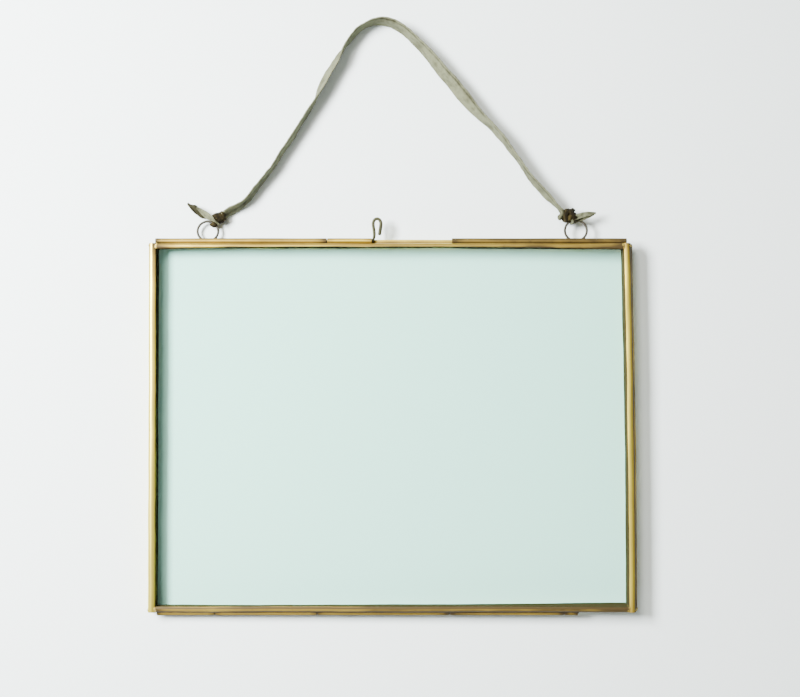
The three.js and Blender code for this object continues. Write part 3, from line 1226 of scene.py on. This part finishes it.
@dataclass
class JumpRing:
    """A split ring, the staple that holds it and the solder under the staple."""

    side: str
    x: float
    radius: float
    split: float
    wide: float
    drift: float = 0.0
    axis_z: float = -94.55
    wire: float = 0.50
    staple: Pair = (1.1, 0.7)
    staple_width: float = 2.0
    staple_bevel: Pair = (0.06, 0.982)
    pad: Point = (1.9, 0.55, 0.42)
    pad_place: Pair = (1.0, 1.25)
    foot: float = -1.45
    split_gap: float = 0.4
    split_side: float = 0.10
    points: int = 120
    sides: int = 18
    soil: float = 0.45

    def build(self) -> None:
        """Makes the ring, whose ends stand a little apart, and its soldered staple."""
        turn = np.linspace(math.radians(self.split + self.split_gap),
                           math.radians(self.split + (360.0 - self.split_gap)), self.points)
        route = np.stack([
            self.x + self.drift + self.radius * self.wide * np.cos(turn),
            self.split_side * np.linspace(-1.0, 1.0, self.points) ** 3,
            self.axis_z + self.radius + self.radius * np.sin(turn),
        ], axis=1)
        Skin(f"ring_{self.side}_wire", round_wire(route, self.wire, self.sides), "hanger",
             Finish.RING, (f"ring_{self.side}",)).build()
        outer, inner = (
            [(size, self.foot)]
            + [(size * math.cos(a), size * math.sin(a)) for a in np.linspace(0, math.pi, 17)]
            + [(-size, self.foot)] for size in self.staple)
        outline = outer + inner[::-1]
        half, (bevel, lean) = self.staple_width / 2, self.staple_bevel
        rings = []
        for x, size in ((-half, lean), (-half + bevel, 1.0), (half - bevel, 1.0), (half, lean)):
            rings.append([(self.x + x, a * size, self.axis_z + b) for a, b in outline])
        Skin(f"ring_staple_{self.side}_bent", np.array(rings), "back_leaf", Finish.BRASS,
             (f"ring_staple_{self.side}",), crease=50.0,
             soil_and_shade=np.full((4, len(outline)), self.soil)).build()
        behind, below = self.pad_place
        Lump(f"solder_staple_{self.side}", (self.x, behind, self.axis_z - below), self.pad,
             "back_leaf", Finish.SOLDER, seed=self.radius, rough=0.25).build()


@dataclass
class Band:
    """A flat strap along a route, cupped and creased by hand.

    Rows of the route are x, y, z, the roll in degrees from facing the viewer, and the width.
    """

    name: str
    rows: Sequence[Sequence[float]]
    steps: int
    thickness: float
    nodes: tuple[str, ...] = ()
    cup: float = 0.5
    crumple: float = 0.25
    wrinkles: float = 0.0
    soil: float = 0.1
    # The fold near the start and the dark line on the later half are painted shade.
    hollow: float = 0.0
    shade_line: float = 0.0
    seed: float = 1.0
    across: int = 13
    crumple_pace: Pair = (0.09, 1.1)
    wrinkle_pace: Pair = (0.42, 1.9)
    slide: float = 0.12
    thin_edge: float = 0.35

    def route(self) -> np.ndarray:
        """The rows at even steps."""
        return curve_through(self.rows, self.steps)

    def _rings(self, place: np.ndarray) -> np.ndarray:
        """Lays the strap along its route.

        Args:
            place: where the strap's points lie across it, from -1 to 1.

        Returns:
            The strap's rings.
        """
        rows = self.route()
        middle, roll, width = rows[:, :3], np.radians(rows[:, 3]), rows[:, 4]
        ahead = units(np.gradient(middle, axis=0))
        outward = units(np.stack([-ahead[:, 2], np.zeros(len(ahead)), ahead[:, 0]], axis=1))
        wide = outward * np.cos(roll)[:, None] + np.array([0.0, -1.0, 0.0]) * np.sin(roll)[:, None]
        through = units(np.cross(wide, ahead))
        rings = []
        for i in range(len(rows)):
            run = i / (len(rows) - 1)
            cup = self.cup * (0.6 + 0.8 * noise.noise(Vector((run * 6.0, self.seed, 0.0))))
            upper, lower = [], []
            for u in place:
                along, across = self.crumple_pace
                at = Vector((run * self.steps * along, u * across, self.seed))
                along, across = self.wrinkle_pace
                close = Vector((run * self.steps * along, u * across, self.seed + 6.0))
                fold = cup * (u * u - 0.4) + self.crumple * noise.noise(at)
                fold += self.wrinkles * noise.noise(close)
                slide = self.slide * noise.noise(at + Vector((5.0, 9.0, 2.0)))
                edge = math.sqrt(max(0.0, 1 - abs(u) ** 6))
                half = self.thickness / 2 * (self.thin_edge + (1 - self.thin_edge) * edge)
                base = middle[i] + wide[i] * (u * width[i] / 2 + slide)
                upper.append(base + through[i] * (fold + half))
                lower.append(base + through[i] * (fold - half))
            rings.append(upper + lower[::-1])
        return np.array(rings)

    def build(self) -> bpy.types.Object:
        """Makes the strap, painted paler at its edges as highlight and soiled along its middle,
        with painted shade in its fold near the start and along a line on its later half.

        Returns:
            The strap.
        """
        place = np.linspace(-1.0, 1.0, self.across)
        edge = np.abs(place)
        # The edges are painted paler as highlight where they catch the light; the middle is darker.
        line = self.soil - 0.30 * smooth(edge, 0.75, 1.0) + 0.12 * (1 - smooth(edge, 0.0, 0.5))
        run = np.linspace(0.0, 1.0, self.steps)[:, None]
        # Painted shade in the fold near the start and along a line near one edge of the later half.
        folded = self.hollow * (1 - smooth(run, 0.05, 0.17)) * (1 - smooth(edge, 0.15, 0.75))
        shade_line = self.shade_line * smooth(run, 0.42, 0.52) * np.exp(-((place - 0.80) / 0.13) ** 2)
        face = line + folded + shade_line
        soil_and_shade = np.concatenate([face, face[:, ::-1]], axis=1)
        return Skin(self.name, self._rings(place), "hanger", Finish.STRAP, self.nodes,
                    soil_and_shade=soil_and_shade, crease=75.0).build()


@dataclass
class Turn:
    """One turn of strap round a knot, seen as a creased band that crosses its front."""

    axis: float
    along: float
    across: float
    radius: float
    width: float
    soil: float
    creases: float = 0.16
    finish: Finish = Finish.KNOT
    thickness: float = 0.9
    flatness: float = 0.95
    sway: Pair = (0.3, 0.25)
    pinch: float = 0.16
    swell: float = 0.30
    steps: int = 84
    points: int = 22

    def build(self, name: str, centre: Point, seed: float) -> bpy.types.Object:
        """Makes the turn.

        Args:
            name: the piece's name.
            centre: the knot's middle.
            seed: which wander it has.

        Returns:
            The turn.
        """
        lean = math.radians(self.axis)
        axis = np.array([math.cos(lean), 0.0, math.sin(lean)])
        side = np.array([-axis[2], 0.0, axis[0]])
        front = np.array([0.0, -self.flatness, 0.0])
        middle = np.array(centre) + self.along * axis + self.across * side
        around = 2 * math.pi * np.arange(self.points) / self.points
        edge = np.abs(np.cos(around)) ** 3
        rings = []
        for angle in 2 * math.pi * np.arange(self.steps) / self.steps:
            out = math.cos(angle) * side + math.sin(angle) * front
            sway = (self.sway[0] * math.sin(angle * 2 + seed)
                    + self.sway[1] * math.sin(angle * 3 + seed * 2.3))
            pinch = 1 + self.pinch * math.sin(angle * 2 + seed * 1.7)
            ring = []
            for k, turn in enumerate(around):
                flat = self.width / 2 * math.cos(turn) * pinch
                thick = self.thickness / 2 * math.sin(turn) * (1 - 0.4 * edge[k]) - 0.25 * edge[k]
                crease = self.creases * math.sin(flat * 4.4 + math.sin(angle * 2 + seed) * 1.2)
                at = Vector((angle * 1.5, flat * 0.9, seed * 5.0))
                size = self.radius + thick + crease + self.swell * noise.noise(at)
                ring.append(middle + out * size + axis * (flat + sway))
            rings.append(ring)
        # The band's edges are painted paler as highlight.
        wear_and_shade = self.soil - 0.35 * edge + 0.15 * np.cos(around * 4)
        soil_and_shade = np.broadcast_to(np.clip(wear_and_shade, 0.0, 1.0), (self.steps, self.points))
        return Skin(name, np.array(rings), "hanger", self.finish, joined=True, soil_and_shade=soil_and_shade,
                    crease=80.0).build()


@dataclass
class Knot:
    """One tied knot: turns of strap round a small core, and the cut ends that stick out."""

    side: str
    centre: Point
    half: Point
    lean: float
    seed: float
    turns: tuple[Turn, ...]
    ends: tuple[Band, ...]

    def build(self) -> list[bpy.types.Object]:
        """Ties the knot.

        Returns:
            The pieces.
        """
        name = f"knot_{self.side}"
        pieces = [Lump(f"{name}_core", self.centre, self.half, "hanger", Finish.KNOT,
                       lean=self.lean, rough=0.3, pitch=2.2, seed=self.seed, nodes=(name,)).build()]
        for n, turn in enumerate(self.turns):
            pieces.append(turn.build(f"{name}_turn_{n + 1}", self.centre, self.seed + n))
        return pieces + [end.build() for end in self.ends]


LEFT_KNOT = Knot(
    "left", (-69.7, 0.0, -84.7), (2.7, 2.1, 1.9), 20.0, 3.0,
    turns=(
        Turn(14.0, 0.0, 0.0, 2.05, 5.0, 0.85, 0.06),
        Turn(-30.0, -0.4, -3.1, 1.15, 2.6, 0.65, 0.10),
        Turn(24.0, 2.3, 0.1, 1.75, 1.6, 0.6),
    ),
    ends=(
        Band("tail_left_end", (
            (-69.0, -2.0, -87.9, 8, 0.6), (-70.8, -2.9, -86.5, 8, 0.8),
            (-72.6, -2.6, -85.1, 8, 2.3), (-74.7, -1.9, -83.6, 10, 2.6),
            (-76.4, -1.7, -82.2, 12, 2.0), (-78.2, -1.5, -80.9, 12, 1.2),
            (-79.8, -1.3, -79.9, 12, 0.6),
        ), 70, 0.6, ("tail_left",), cup=-0.35, crumple=0.3, soil=0.22, seed=3.0),
        # The folded-under half of the cut end is painted dark as shade.
        Band("tail_left_fold", (
            (-74.6, -0.9, -84.9, 14, 0.9), (-76.3, -1.0, -83.7, 16, 2.6),
            (-78.2, -1.1, -82.1, 20, 3.3), (-80.1, -1.1, -80.8, 20, 3.0),
            (-81.7, -1.1, -79.5, 20, 1.9), (-82.8, -1.1, -78.4, 20, 0.7),
        ), 50, 0.6, cup=-0.5, crumple=1.0, soil=0.95, seed=3.6),
    ),
)

RIGHT_KNOT = Knot(
    "right", (81.0, 0.0, -83.95), (3.2, 2.4, 2.4), -20.0, 8.0,
    turns=(
        Turn(-8.0, -0.6, 0.3, 2.65, 2.6, 0.80, 0.08),
        Turn(6.0, 1.9, 0.3, 2.50, 2.4, 0.95, 0.08),
        Turn(-16.0, -3.0, -0.1, 2.05, 1.6, 0.62, 0.10, Finish.STRAP),
        Turn(24.0, 0.7, -2.2, 1.35, 1.3, 0.40, 0.06, Finish.STRAP),
        Turn(10.0, 2.9, -1.1, 1.75, 1.8, 1.0, 0.08),
    ),
    ends=(
        Band("tail_right_end", (
            (83.4, -1.6, -84.9, 12, 1.7), (85.2, -1.7, -84.2, 14, 2.3),
            (87.2, -1.6, -83.6, 16, 2.4), (89.6, -1.5, -83.1, 18, 2.0),
            (91.4, -1.3, -82.8, 18, 1.4), (92.9, -1.2, -82.7, 18, 0.8),
        ), 60, 0.6, ("tail_right",), cup=-0.4, crumple=0.4, soil=0.12, seed=8.0),
        # The folded-under half of the cut end is painted dark as shade.
        Band("tail_right_fold", (
            (83.2, -0.8, -86.1, 16, 1.5), (85.4, -0.9, -85.5, 18, 1.8),
            (87.8, -1.0, -84.7, 20, 1.8), (90.2, -1.1, -83.9, 22, 1.4),
            (92.2, -1.1, -83.2, 22, 0.8),
        ), 50, 0.6, cup=-0.5, crumple=0.5, soil=0.75, seed=8.6),
    ),
)

# Each row is x and z in metres, the roll in degrees and the width in millimetres.
STRAP_ROUTE = (
    (-0.0676, -0.0840, 54, 3.6), (-0.0662, -0.0827, 66, 5.0), (-0.0589, -0.0783, 77, 6.4),
    (-0.0520, -0.0700, 86, 7.0), (-0.0456, -0.0613, 90, 7.0), (-0.0397, -0.0523, 88, 7.0),
    (-0.0339, -0.0432, 90, 7.0), (-0.0294, -0.0358, 92, 7.0), (-0.0261, -0.0293, 112, 7.0),
    (-0.0225, -0.0220, 122, 7.0), (-0.0181, -0.0151, 114, 7.0), (-0.0145, -0.0092, 92, 7.0),
    (-0.0107, -0.0043, 88, 7.0), (-0.0059, -0.0010, 86, 7.0), (-0.0010, 0.0006, 82, 7.0),
    (0.0045, 0.0000, 76, 7.0), (0.0103, -0.0035, 72, 7.0), (0.0166, -0.0091, 70, 7.0),
    (0.0237, -0.0172, 61, 7.0), (0.0306, -0.0253, 55, 7.0), (0.0374, -0.0337, 54, 7.0),
    (0.0423, -0.0393, 70, 7.0), (0.0479, -0.0447, 79, 7.0), (0.0529, -0.0503, 80, 7.0),
    (0.0576, -0.0568, 86, 7.0), (0.0621, -0.0632, 88, 7.0), (0.0668, -0.0695, 81, 7.0),
    (0.0724, -0.0756, 78, 6.4), (0.0773, -0.0807, 80, 4.6), (0.0787, -0.0822, 72, 3.6),
)


@dataclass
class Strap:
    """The hanging strap, with its two knots."""

    length: float = 0.223
    width: float = 0.007
    knots: tuple[Knot, Knot] = (LEFT_KNOT, RIGHT_KNOT)

    def build(self) -> None:
        """Makes the strap first, then what is tied in it."""
        rows = [(x / MM, 0.0, z / MM, roll, width) for x, z, roll, width in STRAP_ROUTE]
        band = Band("ribbon_strap", rows, 300, 0.85, ("ribbon",), cup=0.35, crumple=0.5,
                    wrinkles=0.22, hollow=0.5, shade_line=0.75, seed=4.0, across=21)
        strap = band.build()
        middle = band.route()[:, :3] * MM
        others = [piece for knot in self.knots for piece in knot.build()]


# Room

@dataclass(frozen=True)
class Softbox:
    """One oblong soft light that faces the frame, with its places and sizes in metres."""

    name: str
    place: Point
    size: Pair
    power: float
    colour: Colour
    target: Point = (0.0, 0.0, -0.14)

    def build(self) -> None:
        """Hangs the light."""
        data = bpy.data.lights.new(self.name, "AREA")
        data.shape = "RECTANGLE"
        data.size, data.size_y = self.size
        data.energy = self.power
        data.color = self.colour
        light = bpy.data.objects.new(self.name, data)
        light.location = self.place
        light.visible_camera = False
        towards = Vector(self.target) - Vector(self.place)
        light.rotation_euler = towards.to_track_quat("-Z", "Y").to_euler()
        bpy.context.scene.collection.objects.link(light)


@dataclass
class Studio:
    """The camera, the pale wall and floor, and two soft lights at the left, in even air."""

    eye: Point = (8.6, -478.2, -161.8)
    pitch: float = 0.84
    rise: float = 0.0402
    lens: float = 50.0
    film: float = 36.0
    wall_y: float = 3.74
    wall_turn: Pair = (0.0135, 0.003)
    floor_z: float = -900.0
    half_width: float = 1500.0
    floor_depth: float = 600.0
    wall_colour: Colour = (0.79, 0.865, 0.867)
    floor_colour: Colour = (0.80, 0.82, 0.81)
    window: Softbox = Softbox("window", (-0.43, -0.465, 0.02), (0.17, 0.28), 25.2,
                              (0.99, 1.0, 1.0))
    curtain: Softbox = Softbox("curtain", (-0.45, -1.12, 0.42), (0.36, 0.66), 16.5,
                               (1.0, 0.955, 0.87))
    air: Colour = (1.0, 0.95, 0.87)
    air_strength: float = 0.32

    def camera(self) -> None:
        """Puts the camera where the photograph was taken from."""
        data = bpy.data.cameras.new("viewpoint")
        data.lens = self.lens
        data.sensor_width = self.film
        data.shift_y = self.rise
        data.clip_start = 0.01
        camera = bpy.data.objects.new("viewpoint", data)
        camera.location = [value * MM for value in self.eye]
        camera.rotation_euler = (math.radians(90.0 + self.pitch), 0.0, 0.0)
        bpy.context.scene.collection.objects.link(camera)
        bpy.context.scene.camera = camera

    def room(self) -> None:
        """Makes the wall and the floor, which are not part of the object."""
        w, z, depth = self.half_width, self.floor_z, self.floor_depth
        aside, up = self.wall_turn
        wall = [(x, self.wall_y + aside * x + up * height, height)
                for x, height in ((-w, z), (w, z), (w, w), (-w, w))]
        floor = [(-w, -depth, z), (w, -depth, z), (w, depth, z), (-w, depth, z)]
        for name, corners, finish in (
            ("wall", wall, PlainFinish("pale_wall", self.wall_colour, one_sided=True)),
            ("floor", floor, PlainFinish("pale_floor", self.floor_colour)),
        ):
            mesh = bpy.data.meshes.new(name)
            mesh.from_pydata([[v * MM for v in corner] for corner in corners], [], [(0, 1, 2, 3)])
            mesh.materials.append(finish.build())
            piece = bpy.data.objects.new(name, mesh)
            bpy.context.scene.collection.objects.link(piece)
            piece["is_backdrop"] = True
            LOG.info("%s: %s, behind and below the frame", name, finish.name)

    def lights(self) -> None:
        """Hangs the near light and the wider one further out, and fills the air."""
        self.window.build()
        self.curtain.build()
        world = bpy.data.worlds.new("room_air")
        world.use_nodes = True
        air = world.node_tree.nodes["Background"].inputs
        air["Color"].default_value = (*self.air, 1.0)
        air["Strength"].default_value = self.air_strength
        bpy.context.scene.world = world


def main() -> None:
    """Builds the camera, the strap, the frame from back to front, and then the room."""
    logging.basicConfig(level=logging.INFO, format="%(name)s: %(message)s")
    studio = Studio()
    studio.camera()
    for finish in Finish:
        LOG.info("%s: %s", finish.name, finish.material().name)
    Strap().build()
    JumpRing("left", -73.85, 4.2, 200.0, 1.06, drift=-0.38).build()
    JumpRing("right", 84.45, 4.5, -12.0, 1.05).build()
    Leaf("back", BACK_Y, 50, rise=1.75, spread=1.2, reach=0.2).build()
    Leaf("front", FRONT_Y, 10).build()
    Closure().build()
    HingeBarrel().build()
    studio.room()
    studio.lights()
    boxes = {"cad": CAD_BOX, "visual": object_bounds()}
    {key: [list(corner) for corner in box] for key, box in boxes.items()}
    LOG.info("the frame is dressed")


if __name__ == "__main__":
    main()
